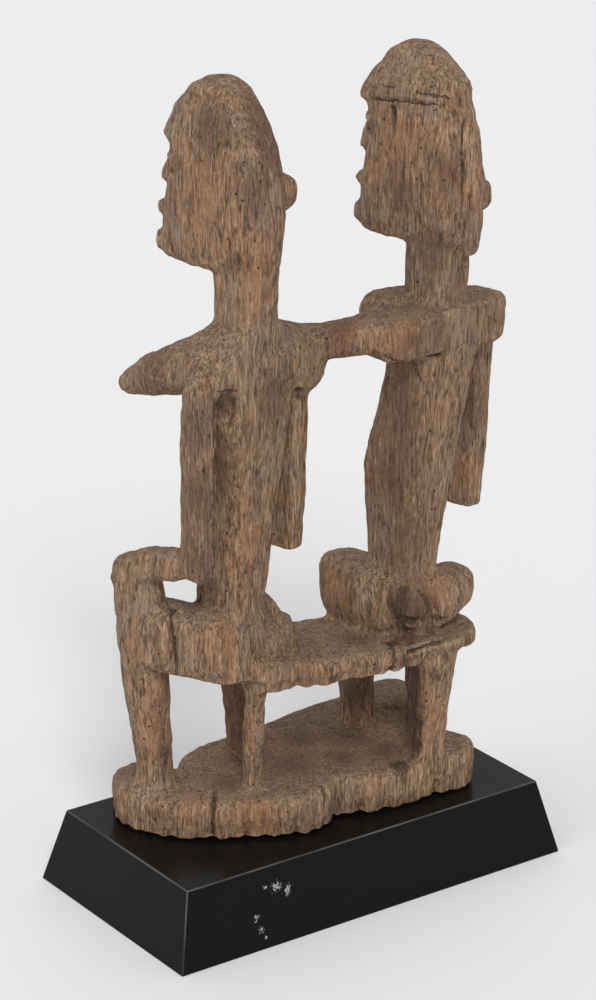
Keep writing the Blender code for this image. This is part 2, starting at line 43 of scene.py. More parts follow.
# the couple's shape and wear: every length and place is in millimetres
carving = {
    "voxel": 0.86,
    "softenPasses": 1,
    "softenShare": 0.5,       # how far one pass moves a corner towards its neighbours
    "broadWear": 0.42,        # slow swellings left by the adze and by weather
    "broadSize": 9.0,
    "pitting": 0.20,          # small dents between the fibres
    "pittingSize": 2.7,
    "grooveDepth": 0.26,      # upright grain grooves
    "grooveWidth": 1.6,
    "grooveLength": 13.0,
    "grooveOnFlats": 0.35,    # share of the grooves where the surface looks up or down
    "seed": 4.7,
    # torn lower edges: how deep and wide the notches are, and the heights of the rims
    "torn": {
        "depth": 1.9,
        "width": 3.4,
        "level": 3.1,
        "least": 0.25,
        "plate": {"height": 22.5, "span": 4.5},
        "bench": {"height": 64.3, "span": 3.0, "from": 60, "to": 70, "behind": 8, "share": 0.8},
    },
    # the edge of the cap of hair on the man's head: the step, and its height along y
    "capEdge": {
        "step": 1.1,
        "span": 1.3,
        "heights": ((-8.0, 210.4), (6.0, 213.2), (14.0, 214.2), (20.0, 214.3), (26.0, 213.0)),
        "upTo": 9,            # above the edge the step is gone by here
        "fadeOver": 6,
        "side": -10,          # his head is past this place along x
        "back": 23,           # and the step is gone by here along y
    },
    # from, to, half width and depth
    "cracks": (
        ((31.8, 3.5, 33.0), (36.3, 10.0, 31.0), 0.8, 1.2),
        ((36.3, 9.3, 33.0), (36.6, 9.6, 21.0), 0.9, 1.7),
        ((6.8, 19.3, 33.0), (7.6, 20.4, 21.0), 0.9, 1.9),
        ((-13.7, 18.0, 69.9), (-10.0, 25.1, 63.4), 0.8, 1.5),
        ((-15.4, 25.2, 68.6), (-26.2, 24.4, 68.8), 0.6, 1.2),
        ((44.1, 2.1, 87.1), (47.5, 6.7, 80.3), 1.1, 2.0),
        ((47.5, 6.7, 80.3), (47.3, 6.9, 67.5), 1.1, 2.2),
        ((-8.0, 23.5, 150.2), (-24.4, 24.0, 148.2), 0.9, 1.3),
        ((-14.0, 20.5, 75.5), (-30.0, 21.5, 72.5), 0.9, 1.4),
        ((12.5, 12.0, 142.7), (9.6, 9.2, 139.4), 0.8, 1.2),
    ),
    # hollows and swellings: middle, reach along x, y and z, depth inwards
    "dents": (
        ((-29.3, -5.0, 203.0), (2.6, 4.0, 1.5), 1.4),
        ((-20.3, -3.4, 203.0), (2.2, 4.0, 1.5), 1.2),
        ((28.4, -11.4, 199.4), (2.6, 4.0, 1.5), 1.4),
        ((38.0, -8.9, 199.4), (2.0, 4.0, 1.5), 1.2),
        ((-29.5, -4.6, 206.4), (3.6, 4.0, 1.5), -0.7),
        ((-20.5, -3.4, 206.4), (3.0, 4.0, 1.5), -0.6),
        ((28.5, -11.0, 202.9), (3.6, 4.0, 1.5), -0.7),
        ((37.8, -8.4, 202.9), (2.6, 4.0, 1.5), -0.6),
        ((38.4, 17.6, 143.6), (3.4, 4.0, 6.0), 1.8),
        ((41.6, 5.5, 160.2), (4.5, 6.0, 3.5), 1.5),
        ((13.4, 13.5, 147.0), (2.5, 4.0, 5.0), 1.0),
        ((-19.3, 8.4, 209.6), (1.5, 1.6, 3.2), 0.9),
        ((-29.7, 24.6, 196.0), (1.4, 3.0, 14.0), 0.7),
    ),
    # small moves of whole corners: middle, reach along x, y and z, and the move
    "nudges": (
        ((45.0, 15.0, 97.0), (8.0, 8.0, 6.5), (0.0, 0.0, 2.8)),
    ),
    # junctions that were carved as one soft form: place, reach and how often they are eased
    "softPlaces": (
        ((42.5, 14.5, 150.0), 9.0, 26),
        ((42.0, 2.0, 159.0), 11.0, 160),
        ((44.0, -3.0, 157.0), 9.0, 90),
        ((37.6, 13.5, 131.0), 6.0, 60),
        ((36.6, 12.5, 119.0), 6.0, 60),
        ((35.8, 11.5, 107.0), 6.0, 60),
        ((35.0, 15.0, 155.0), 7.0, 18),
        ((11.0, 13.0, 150.0), 7.0, 14),
        ((31.0, 16.0, 181.0), 9.0, 18),
        ((-9.0, 22.0, 157.0), 7.0, 16),
        ((43.0, -9.0, 32.0), 8.0, 12),
        ((22.0, 7.0, 32.0), 6.0, 12),
        ((-28.0, 18.0, 32.0), 7.0, 12),
        ((-26.0, -10.5, 32.0), 7.0, 12),
        ((12.0, -13.0, 32.0), 7.0, 12),
        ((30.0, 15.0, 80.0), 8.0, 14),
    ),
    # where the wood is darker, warmer or dustier, and where shade is painted on it: place and reach
    "stainsAndShade": {
        # darker patches: the wood's own tint, and painted shade on the shaded side of the post under the
        # man, in the recess beside the woman's left arm and under her right shoulder
        "dark": (
            ((-17.9, 15.7, 129.8), 9.0), ((-16.5, 16.0, 113.6), 9.0), ((-19.7, 18.9, 97.0), 8.0),
            ((47.1, 17.6, 140.3), 5.5), ((47.2, 17.7, 122.0), 7.0), ((47.3, 17.8, 104.0), 6.0),
            ((-20.5, 20.5, 80.4), 6.5), ((-19.3, 18.2, 69.6), 5.0), ((-23.0, 18.5, 50.2), 4.5),
            ((-23.5, 16.5, 37.5), 4.0), ((-18.8, 17.9, 32.8), 3.0), ((15.9, -10.2, 46.5), 6.0),
            ((-22.2, -6.1, 46.0), 5.5), ((23.9, 13.1, 213.3), 6.5), ((36.0, 7.7, 212.6), 5.5),
            ((31.2, 18.0, 197.9), 5.0), ((-25.5, 24.2, 196.0), 5.0),
            ((-19.5, 11.6, 190.2), 4.5), ((-24.4, 20.3, 177.0), 3.5), ((23.8, 16.8, 143.5), 6.0),
            ((46.8, -3.8, 148.7), 6.5), ((5.6, 1.0, 32.7), 10.0), ((27.7, 2.2, 32.4), 5.0),
            ((-46.3, 9.5, 128.2), 6.0), ((38.5, 12.0, 128.0), 7.0),
            ((-4.6, -8.4, 33.1), 6.0), ((-16.0, -2.0, 33.0), 8.0), ((-8.0, 6.0, 32.8), 6.0),
            ((-20.0, 10.0, 33.0), 7.0), ((25.9, 2.0, 32.4), 6.0), ((-6.0, 14.0, 70.0), 5.0),
            ((-17.0, 19.0, 121.0), 8.0), ((-15.0, 16.5, 139.0), 6.0),
            ((2.0, 16.0, 155.5), 5.0), ((-14.0, 25.6, 153.5), 5.0), ((-22.0, 24.5, 155.0), 4.0),
        ),
        # resin: nearly black patches, and painted shade under both of the woman's shoulders, in the seat's
        # shadow and down the shaded side of the post under the man
        "resinAndShade": (
            ((-17.3, 18.9, 80.5), 3.6), ((-20.0, 19.8, 76.0), 3.4), ((-24.5, 21.0, 77.5), 2.6),
            ((-13.5, 20.0, 70.0), 2.6), ((-14.0, 25.0, 66.5), 2.8), ((-17.5, 24.8, 68.6), 2.4),
            ((-21.6, 18.6, 57.5), 3.4), ((-21.8, 18.4, 50.5), 3.4), ((-22.2, 18.2, 43.5), 3.2),
            ((-22.6, 18.0, 37.5), 2.8), ((-17.6, 19.8, 32.4), 2.6), ((36.6, 17.6, 145.6), 2.6),
            ((38.6, 16.4, 143.8), 2.6), ((12.4, 11.8, 141.5), 2.2),
        ),
        "warm": (
            ((37.8, 16.5, 80.0), 5.5), ((47.8, -3.3, 54.3), 7.0), ((25.9, 11.9, 51.5), 5.0),
            ((29.0, 14.9, 100.9), 8.0), ((33.4, 16.6, 118.7), 5.0), ((37.6, 5.0, 197.2), 8.0),
            ((31.2, 17.3, 178.7), 7.0), ((-19.1, 9.6, 200.3), 7.0), ((-31.6, 25.0, 188.8), 5.0),
            ((-9.7, 25.4, 156.9), 6.5), ((2.2, 16.0, 156.5), 6.0), ((43.2, 3.8, 28.4), 6.5),
            ((27.0, 15.0, 28.5), 6.0), ((-28.0, 22.9, 44.8), 4.5), ((10.8, 21.1, 63.9), 6.0),
            ((52.9, -4.8, 77.7), 5.0), ((-26.8, 21.0, 82.0), 4.5), ((-9.1, 2.6, 79.9), 5.0),
            ((-45.7, 6.8, 107.7), 5.0),
        ),
        "dusty": (
            ((-24.0, 19.3, 164.0), 10.0), ((-2.4, 12.0, 70.3), 9.0), ((49.6, -0.3, 87.3), 6.0),
            ((3.8, 16.8, 31.6), 12.0), ((33.0, 15.5, 157.0), 9.5), ((-36.8, 17.6, 68.4), 5.0),
            ((21.6, 13.7, 76.6), 5.0), ((10.2, 14.2, 149.5), 5.0), ((-20.8, 6.8, 220.2), 6.5),
        ),
    },
    "spotStretch": (1.0, 1.0, 0.6),   # stains and painted shade are drawn out along the grain
    "spotFade": 1.5,                  # a spot has faded out at this many times its reach
}


def eased(share):
    # the same share from 0 to 1, levelled off at both ends
    return share * share * (3 - 2 * share)


def domeShare(places, centre, reach):
    # 1 in the middle of an egg-shaped region and 0 from its rim outwards
    away = (places - numpy.array(centre)) / reach
    return eased(numpy.clip(1 - (away * away).sum(axis=1), 0, None))


def spotShare(places, spots, settings):
    # how strongly each place lies within any of the spots
    strongest = numpy.zeros(len(places))
    for centre, reach in spots:
        away = (places - numpy.array(centre)) * settings["spotStretch"]
        share = 1 - numpy.linalg.norm(away, axis=1) / (reach * settings["spotFade"])
        strongest = numpy.maximum(strongest, share)
    return strongest


def dentDepth(places, dents):
    # how far each place is pressed in by the listed hollows
    pressed = numpy.zeros(len(places))
    for centre, reach, depth in dents:
        pressed += domeShare(places, centre, reach) * depth
    return pressed


def nudged(places, nudges):
    # where each place ends up once the listed corners have been moved
    moved = places.copy()
    for centre, reach, move in nudges:
        moved += domeShare(places, centre, reach)[:, None] * numpy.array(move)
    return moved


def capRise(places, settings):
    # the hair stands a little proud of the man's face and of the sides of his head
    along = [spot[0] for spot in settings["heights"]]
    heights = [spot[1] for spot in settings["heights"]]
    edge = numpy.interp(places[:, 1], along, heights)
    above = numpy.clip((places[:, 2] - edge) / settings["span"] + 0.5, 0, 1)
    fade = numpy.clip((edge + settings["upTo"] - places[:, 2]) / settings["fadeOver"], 0, 1)
    his = places[:, 0] < settings["side"]
    front = numpy.clip((settings["back"] - places[:, 1]) / settings["fadeOver"], 0, 1)
    return settings["step"] * eased(above) * fade * (his * front)


def crackDepth(places, cracks):
    # how deep each place lies in any crack, which fades out at twice its half width
    deepest = numpy.zeros(len(places))
    for start, end, halfWidth, depth in cracks:
        first = numpy.array(start)
        run = numpy.array(end) - first
        share = numpy.clip((places - first) @ run / (run @ run), 0, 1)
        away = numpy.linalg.norm(places - first - share[:, None] * run, axis=1)
        deepest = numpy.maximum(deepest, depth * numpy.clip(1 - away / (halfWidth * 2), 0, None))
    return deepest


def mergedCopy(node, name):
    # the node's mesh is loose triangles, so its copy is merged before anything else
    made = bpy.data.objects.new(name, node.data.copy())
    bpy.context.scene.collection.objects.link(made)
    mesh = bmesh.new()
    mesh.from_mesh(made.data)
    bmesh.ops.remove_doubles(mesh, verts=mesh.verts, dist=mergeWithin)
    mesh.to_mesh(made.data)
    mesh.free()
    return made


def evenSkin(piece, voxel):
    # even quads all over, so the wear has something to move
    modifier = piece.modifiers.new("even skin", "REMESH")
    modifier.mode = "VOXEL"
    modifier.voxel_size = voxel
    modifier.use_smooth_shade = True
    bpy.context.view_layer.update()
    shaped = piece.evaluated_get(bpy.context.evaluated_depsgraph_get())
    skin = bpy.data.meshes.new_from_object(shaped)
    piece.modifiers.clear()
    piece.data = skin


def grain(place, width, length, shift):
    # upright fibres: noise drawn out along the height, in millimetres
    return noise.noise(Vector((place.x / width + shift, place.y / width, place.z / length)))


def tornDepth(place, torn):
    # strongest at the lower rims of the plate and the bench
    plate, bench = torn["plate"], torn["bench"]
    share = max(0.0, 1 - abs(place.z - plate["height"]) / plate["span"])
    if bench["from"] < place.z < bench["to"] and place.y > bench["behind"]:
        near = max(0.0, 1 - abs(place.z - bench["height"]) / bench["span"])
        share = max(share, near * bench["share"])
    if share == 0.0:
        return 0.0
    notch = noise.noise(Vector((place.x / torn["width"], place.y / torn["width"], torn["level"])))
    return share * torn["depth"] * max(0.0, torn["least"] + notch)


def soften(mesh, settings):
    # one pass all over, then more at the listed junctions
    easing = {"factor": settings["softenShare"], "use_axis_x": True, "use_axis_y": True, "use_axis_z": True}
    for turn in range(settings["softenPasses"]):
        bmesh.ops.smooth_vert(mesh, verts=mesh.verts, **easing)
    for centre, reach, times in settings["softPlaces"]:
        middle = Vector(centre) * mm
        near = [vert for vert in mesh.verts if (vert.co - middle).length < reach * mm]
        for turn in range(times):
            bmesh.ops.smooth_vert(mesh, verts=near, **easing)


def roughen(mesh, settings):
    # moves every place of the skin in or out by its wear, and the nudged corners sideways too
    places = numpy.array([vert.co for vert in mesh.verts]) / mm
    for vert, place in zip(mesh.verts, nudged(places, settings["nudges"])):
        vert.co = Vector(place) * mm
    mesh.normal_update()
    shift = settings["seed"]
    onFlats = settings["grooveOnFlats"]
    moves = capRise(places, settings["capEdge"]) - dentDepth(places, settings["dents"])
    moves -= crackDepth(places, settings["cracks"])
    for vert, move in zip(mesh.verts, moves):
        place = vert.co / mm
        upright = 1 - abs(vert.normal.z)
        broad = noise.noise(place / settings["broadSize"] + Vector((shift, 0, 0))) * settings["broadWear"]
        pit = noise.noise(place / settings["pittingSize"] + Vector((0, shift, 0))) * settings["pitting"]
        fibre = grain(place, settings["grooveWidth"], settings["grooveLength"], shift)
        groove = (0.5 - abs(fibre) * 2) * settings["grooveDepth"] * (onFlats + (1 - onFlats) * upright)
        vert.co += vert.normal * (move + broad + pit + groove - tornDepth(place, settings["torn"])) * mm


def keepWithin(mesh, box):
    # the worn skin never passes the solid's own box
    low, high = box
    for vert in mesh.verts:
        for axis in range(3):
            vert.co[axis] = min(high[axis], max(low[axis], vert.co[axis]))
    mesh.normal_update()


def markHollows(mesh):
    # how far each place lies below its neighbours, in millimetres, for the wood's colour: painted shade in
    # creases, paler worn ridges
    hollow = mesh.verts.layers.float.new("hollow")
    for vert in mesh.verts:
        middle = Vector()
        for edge in vert.link_edges:
            middle += edge.other_vert(vert).co
        middle /= len(vert.link_edges)
        vert[hollow] = (middle - vert.co).dot(vert.normal) / mm


def weather(piece, settings, box):
    mesh = bmesh.new()
    mesh.from_mesh(piece.data)
    soften(mesh, settings)
    roughen(mesh, settings)
    keepWithin(mesh, box)
    markHollows(mesh)
    places = numpy.array([vert.co for vert in mesh.verts]) / mm
    mesh.to_mesh(piece.data)
    mesh.free()
    for name, spots in settings["stainsAndShade"].items():
        shares = spotShare(places, spots, settings).astype(numpy.float32)
        piece.data.attributes.new(name, "FLOAT", "POINT").data.foreach_set("value", shares)


# how the plinth's edges are worn and lit by a painted highlight: its sizes come from the frame
plinthLook = {
    "edge": 0.0004,           # width of the worn edges, in metres
    "edgeSteps": 4,
    "wearAndHighlightAbove": 1.0,       # how far wear and a painted highlight lighten the top edges
    "wearAndHighlightBelow": 0.35,      # and the others
}


def levelSize(node, pick):
    # length and depth of the node at its top (max) or at its foot (min), and that height
    places = [vert.co for vert in node.data.vertices]
    height = pick(place.z for place in places)
    rim = [place for place in places if abs(place.z - height) < mm]
    size = [max(place[axis] for place in rim) - min(place[axis] for place in rim) for axis in (0, 1)]
    return size[0], size[1], height


def makePlinth(node, settings):
    topLength, topDepth, top = levelSize(node, max)
    footLength, footDepth, foot = levelSize(node, min)
    height = top - foot
    mesh = bmesh.new()
    bmesh.ops.create_cube(mesh, size=1.0)
    lower = [vert for vert in mesh.verts if vert.co.z < 0]
    upper = [vert for vert in mesh.verts if vert.co.z > 0]
    bmesh.ops.scale(mesh, verts=lower, vec=(footLength, footDepth, height))
    bmesh.ops.scale(mesh, verts=upper, vec=(topLength, topDepth, height))
    bmesh.ops.translate(mesh, verts=mesh.verts, vec=(0, 0, foot + height / 2))
    rounded = bmesh.ops.bevel(
        mesh, geom=mesh.edges[:], offset=settings["edge"], offset_type="OFFSET", affect="EDGES",
        segments=settings["edgeSteps"], profile=0.5, material=-1,
    )
    bevelFaces = set(rounded["faces"])
    # painted highlight and wear: the rounded edges are lighter, most along the top edges
    wearAndHighlight = mesh.verts.layers.float.new("rubbedAndHighlit")
    for vert in mesh.verts:
        inside = all(part in bevelFaces for part in vert.link_faces)
        high = vert.co.z > top - 2 * settings["edge"]
        wearAndHighlightShare = settings["wearAndHighlightAbove"] if high else settings["wearAndHighlightBelow"]
        vert[wearAndHighlight] = wearAndHighlightShare if inside else 0.0
    for part in mesh.faces:
        part.smooth = part in bevelFaces
    data = bpy.data.meshes.new("plinthPiece")
    mesh.to_mesh(data)
    mesh.free()
    made = bpy.data.objects.new("plinthPiece", data)
    bpy.context.scene.collection.objects.link(made)
    return made


class Recipe:
    # shorthand for wiring up one material
    def __init__(self, name):
        self.material = bpy.data.materials.new(name)
        self.material.use_nodes = True
        self.tree = self.material.node_tree
        self.shader = self.tree.nodes["Principled BSDF"]
        self.coords = self.tree.nodes.new("ShaderNodeTexCoord").outputs["Object"]

    def wire(self, source, target):
        self.tree.links.new(source, target)

    def stretched(self, scale, shift=(0.0, 0.0, 0.0)):
        mapping = self.tree.nodes.new("ShaderNodeMapping")
        mapping.inputs["Scale"].default_value = scale
        mapping.inputs["Location"].default_value = shift
        self.wire(self.coords, mapping.inputs["Vector"])
        return mapping.outputs["Vector"]

    def cloud(self, scale, detail=3.0, rough=0.5, warp=0.0, shift=(0.0, 0.0, 0.0)):
        made = self.tree.nodes.new("ShaderNodeTexNoise")
        made.inputs["Scale"].default_value = 1.0
        made.inputs["Detail"].default_value = detail
        made.inputs["Roughness"].default_value = rough
        made.inputs["Distortion"].default_value = warp
        self.wire(self.stretched(scale, shift), made.inputs["Vector"])
        return made.outputs["Fac"]

    def cells(self, scale, shift=(0.0, 0.0, 0.0)):
        made = self.tree.nodes.new("ShaderNodeTexVoronoi")
        made.inputs["Scale"].default_value = 1.0
        self.wire(self.stretched(scale, shift), made.inputs["Vector"])
        return made.outputs["Distance"]

    def window(self, value, low, high, least=0.0, most=1.0):
        # runs smoothly from least to most while the value runs from low to high
        made = self.tree.nodes.new("ShaderNodeMapRange")
        made.interpolation_type = "SMOOTHSTEP"
        made.inputs["From Min"].default_value = low
        made.inputs["From Max"].default_value = high
        made.inputs["To Min"].default_value = least
        made.inputs["To Max"].default_value = most
        self.wire(value, made.inputs["Value"])
        return made.outputs["Result"]

    def math(self, operation, first, second=None):
        made = self.tree.nodes.new("ShaderNodeMath")
        made.operation = operation
        for socket, value in zip(made.inputs, (first, second)):
            if isinstance(value, (int, float)):
                socket.default_value = value
            elif value is not None:
                self.wire(value, socket)
        return made.outputs[0]

    def weighted(self, parts, shares):
        # the sum of the named parts, each times its own share
        total = None
        for name, share in shares.items():
            part = self.math("MULTIPLY", parts[name], share)
            total = part if total is None else self.math("ADD", total, part)
        return total

    def blend(self, share, under, over):
        made = self.tree.nodes.new("ShaderNodeMix")
        made.data_type = "RGBA"
        for socket, value in ((made.inputs[0], share), (made.inputs[6], under), (made.inputs[7], over)):
            if isinstance(value, tuple):
                socket.default_value = (*value, 1.0)
            else:
                self.wire(value, socket)
        return made.outputs[2]

    def ramp(self, value, stops):
        made = self.tree.nodes.new("ShaderNodeValToRGB")
        band = made.color_ramp
        while len(band.elements) < len(stops):
            band.elements.new(0.5)
        for element, (place, colour) in zip(band.elements, stops):
            element.position = place
            element.color = (*colour, 1.0)
        self.wire(value, made.inputs["Fac"])
        return made.outputs["Color"]

    def attribute(self, name):
        made = self.tree.nodes.new("ShaderNodeAttribute")
        made.attribute_name = name
        return made.outputs["Fac"]

    def facing(self):
        # how far the surface looks up
        normal = self.tree.nodes.new("ShaderNodeNewGeometry").outputs["Normal"]
        parts = self.tree.nodes.new("ShaderNodeSeparateXYZ")
        self.wire(normal, parts.inputs[0])
        return parts.outputs["Z"]

    def vector(self, operation, first, second):
        made = self.tree.nodes.new("ShaderNodeVectorMath")
        made.operation = operation
        sockets = (made.inputs[0], made.inputs["Scale"] if operation == "SCALE" else made.inputs[1])
        for socket, value in zip(sockets, (first, second)):
            if isinstance(value, (int, float, tuple)):
                socket.default_value = value
            else:
                self.wire(value, socket)
        return made.outputs["Value"] if operation in ("DOT_PRODUCT", "DISTANCE") else made.outputs["Vector"]

    def drawnLines(self, lines, style):
        # thin lines between pairs of places in millimetres, seen from outside: 1 on a line, 0 beside it
        shake = self.tree.nodes.new("ShaderNodeTexNoise")
        shake.inputs["Scale"].default_value = style["wobbleScale"]
        shake.inputs["Detail"].default_value = style["wobbleDetail"]
        self.wire(self.coords, shake.inputs["Vector"])
        offset = self.vector("SUBTRACT", shake.outputs["Color"], (0.5, 0.5, 0.5))
        place = self.vector("ADD", self.coords, self.vector("SCALE", offset, style["wobble"] * mm))
        deepest, full = style["depths"]
        strongest = None
        for start, end, outward, width in lines:
            first = Vector(start) * mm
            outward = Vector(outward).normalized()
            run = Vector(end) * mm - first
            run -= outward * run.dot(outward)
            away = self.vector("SUBTRACT", place, tuple(first))
            deep = self.vector("DOT_PRODUCT", away, tuple(outward))
            away = self.vector("SUBTRACT", away, self.vector("SCALE", tuple(outward), deep))
            along = self.vector("DOT_PRODUCT", away, tuple(run))
            share = self.math("MULTIPLY", along, 1 / run.length_squared)
            share = self.math("MINIMUM", self.math("MAXIMUM", share, 0.0), 1.0)
            gap = self.vector("DISTANCE", away, self.vector("SCALE", tuple(run), share))
            line = self.window(gap, width * mm, width * style["core"] * mm)
            onSkin = self.window(self.math("ABSOLUTE", deep), deepest * mm, full * mm)
            line = self.math("MULTIPLY", line, onSkin)
            strongest = line if strongest is None else self.math("MAXIMUM", strongest, line)
        return strongest

    def relief(self, height, distance, strength=1.0, below=None):
        made = self.tree.nodes.new("ShaderNodeBump")
        made.inputs["Distance"].default_value = distance
        made.inputs["Strength"].default_value = strength
        self.wire(height, made.inputs["Height"])
        if below is not None:
            self.wire(below, made.inputs["Normal"])
        return made.outputs["Normal"]


woodLook = {
    "dark": (0.062, 0.037, 0.024),
    "brown": (0.175, 0.102, 0.059),
    "tan": (0.335, 0.205, 0.120),
    "pale": (0.560, 0.385, 0.250),
    "orange": (0.365, 0.178, 0.084),
    "purple": (0.116, 0.056, 0.038),
    # nearly black: resin, and painted shade in recesses and on shaded faces
    "resinAndShade": (0.046, 0.022, 0.015),
    "grey": (0.250, 0.180, 0.135),
    "dust": (0.345, 0.245, 0.170),
    "dustLow": (0.155, 0.102, 0.070),
    "glint": (0.620, 0.560, 0.500),
    "hole": (0.012, 0.007, 0.005),
    # clouds of noise: how fine along x, y and z, per metre, then detail, roughness, warp and shift
    "layers": {
        "fibre": ((2300, 2300, 330), 3.0, 0.60, 0.25),
        "thread": ((1250, 1250, 130), 4.0, 0.62, 0.35),
        "streak": ((480, 480, 48), 5.0, 0.62, 0.4),
        "mottle": ((330, 330, 230), 6.0, 0.72),
        "patch": ((100, 100, 64), 4.0, 0.62),
        "broad": ((38, 38, 26), 4.0, 0.55, 0.0, (3.0, 1.0, 2.0)),
        "split": ((620, 620, 60), 3.0),
    },
    # what each mix is made of, and how much of each part it takes
    "mixes": {
        "tone": {"fibre": 0.30, "thread": 0.28, "streak": 0.14, "mottle": 0.18, "patch": 0.10},
        "grey": {"patchy": 1.2, "loose": 0.6},
        "settled": {"dusty": 1.0, "loose": 1.6},
        "warmth": {"warm": 0.6, "stringy": 2.2, "loose": 0.8},
        "darkness": {"dark": 0.8, "loose": 1.3, "stringy": 1.0, "shade": 1.0},
        "resinAndShade": {"resinAndShade": 1.0, "patchy": 1.6, "loose": 1.4},
    },
    # windows on a value: from, to, and what comes out at either end when that isn't 0 and 1
    "windows": {
        "grey": (0.00, 0.16, 0.0, 0.50),
        "upward": (0.30, 0.95),
        "lying": (0.36, 0.62, 0.20, 0.70),
        "settled": (0.10, 0.80, 0.0, 0.50),
        "warmth": (0.12, 0.66, 0.0, 0.50),
        "shade": (0.52, 0.68, 0.0, 0.35),
        "darkness": (0.12, 0.70, 0.0, 0.60),
        "resinAndShade": (0.15, 0.75),
        "hollow": (0.03, 0.20, 0.0, 0.65),
        "ridge": (-0.04, -0.20, 0.0, 0.35),
        "slitsAndShadowLines": (0.018, 0.004),
        "slitPatches": (0.44, 0.60, 0.05, 0.70),
        "hole": (0.085, 0.050),
        "glint": (0.085, 0.045),
        "glintPatches": (0.54, 0.62, 0.0, 0.7),
        "rough": (0.3, 0.7, 0.92, 0.74),
    },
    # the tones at which each brown, and each shade of dust, is pure
    "browns": ((0.400, "dark"), (0.460, "brown"), (0.522, "tan"), (0.600, "pale")),
    "dusts": ((0.44, "dustLow"), (0.56, "dust")),
    # insect holes and bright specks: how fine, per metre, and shift
    "holes": ((230, 230, 200), (0.3, 0.1, 0.7)),
    "glints": ((420, 420, 420), (0.8, 0.4, 0.2)),
    "resinAndShadeCover": 0.80,
    "resinShine": 0.36,
    "slitAndShadowLineCover": 0.78,
    "holeCover": 0.85,
    "specular": 0.3,
    # relief in the shader: the layer, its height in metres and its strength
    "relief": (
        ("fibre", 0.0003, 1.0), ("thread", 0.0006, 0.8), ("mottle", 0.0011, 0.8), ("streak", 0.0009, 0.6),
    ),
    "dipDepth": 0.0007,
    # how the fine lines are drawn: wobble and depths in millimetres, and the core's share of the width
    "lineStyle": {
        "wobble": 2.4, "wobbleScale": 420.0, "wobbleDetail": 4.0, "core": 0.3, "depths": (3.4, 2.4),
    },
    # fine dark lines, cracks and slits and painted shadow lines: from, to, the way the surface faces there,
    # and half width in millimetres
    "lines": (
        ((-21.7, 15.2, 216.0), (-27.3, 20.8, 214.9), (0.68, 0.71, 0.2), 0.34),
        ((-19.5, 4.9, 216.1), (-20.0, 8.3, 215.9), (0.97, 0.17, 0.16), 0.26),
        # painted shadow line under the edge of the man's cap of hair
        ((-18.9, 2.0, 211.9), (-20.9, 14.2, 213.2), (0.97, 0.18, 0.15), 0.26),
        ((-20.9, 14.2, 213.2), (-24.8, 20.0, 213.4), (0.75, 0.66, 0.1), 0.24),
        ((-19.2, 7.5, 211.2), (-19.3, 9.2, 207.6), (0.98, 0.17, 0.05), 0.55),
        ((34.0, 5.5, 33.0), (36.6, 9.5, 31.0), (0.4, 0.5, 0.77), 0.45),
        ((36.4, 9.4, 33.0), (36.7, 9.7, 20.0), (0.61, 0.79, 0.0), 0.50),
        ((7.0, 19.5, 33.0), (7.6, 20.6, 20.0), (-0.19, 0.98, 0.0), 0.50),
        ((-13.7, 18.0, 69.8), (-10.8, 24.0, 69.6), (0.0, 0.1, 1.0), 0.42),
        ((-10.4, 25.0, 69.8), (-10.0, 25.4, 62.5), (0.1, 0.99, 0.0), 0.42),
        ((-15.4, 25.2, 68.6), (-26.2, 24.4, 68.8), (-0.07, 0.85, 0.52), 0.28),
        ((44.1, 2.1, 87.1), (47.5, 6.7, 80.3), (0.65, 0.44, 0.62), 0.50),
        ((47.5, 6.7, 80.3), (47.3, 7.0, 67.5), (0.84, 0.50, -0.2), 0.60),
        # painted shadow line under the man's shoulder block
        ((-8.0, 23.5, 150.2), (-24.4, 24.0, 148.2), (0.0, 0.9, -0.43), 0.45),
        # painted shade along the edge of the woman's left arm and under the arch of her armpit
        ((42.2, 17.9, 147.0), (41.9, 17.5, 102.0), (0.2, 0.98, 0.0), 0.35),
        ((36.0, 18.2, 148.4), (40.6, 17.8, 149.0), (0.1, 0.99, 0.0), 0.40),
        ((-29.6, 24.6, 208.0), (-29.2, 25.0, 184.0), (0.1, 0.99, 0.0), 0.35),
        ((-26.2, -9.8, 190.0), (-21.6, -9.0, 190.0), (0.28, -0.96, 0.0), 0.34),
        ((31.0, -16.0, 190.0), (36.4, -14.8, 190.0), (0.28, -0.96, 0.0), 0.34),
    ),
}


